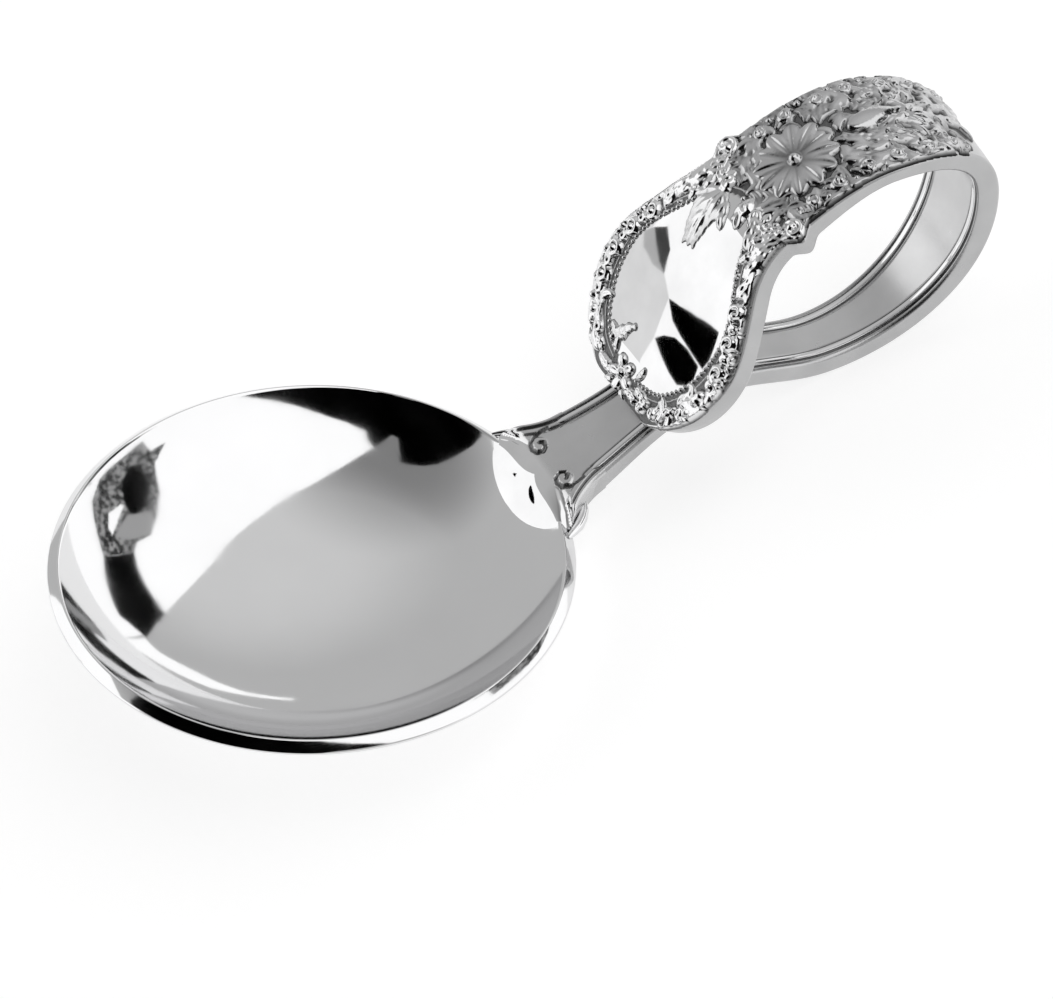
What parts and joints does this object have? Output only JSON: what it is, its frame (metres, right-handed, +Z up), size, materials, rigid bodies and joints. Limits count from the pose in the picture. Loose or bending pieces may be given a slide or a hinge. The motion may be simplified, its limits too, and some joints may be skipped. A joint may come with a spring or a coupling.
{
  "type": "baby spoon",
  "caption": "Round-bowled feeding spoon whose short strip handle turns back on itself into a finger loop and ends in an ornamented face plate.",
  "frame": {"origin": "centre of the small flat worn under the bowl, on the plane that the spoon stands on", "axes": "+X from the bowl towards the finger loop, +Y across the spoon, +Z up as it stands on its bowl and loop"},
  "size_m": [0.0793, 0.04, 0.0212],
  "materials": {
    "bright_metal": "mirror-polished pewter with faint wipe marks",
    "relief_metal": "polished pewter relief, darker in its recesses",
    "solder": "dull tin solder"
  },
  "bodies": {
    "root": {"bowl": "bright_metal", "handle": "bright_metal", "shoulder": "bright_metal", "shoulder_ears": "relief_metal", "rim_solder": "solder", "tip_solder": "solder", "stem_threads": "relief_metal", "stem_scrolls": "relief_metal", "bead_row": "relief_metal", "plate_scrolls": "relief_metal", "lug_scrolls": "relief_metal", "top_leaf_spray": "relief_metal", "low_leaf_spray": "relief_metal", "tip_flower": "relief_metal", "tip_leaves": "relief_metal", "rosette": "relief_metal", "loop_scrolls": "relief_metal", "loop_leaves": "relief_metal"}
  },
  "joints": []
}
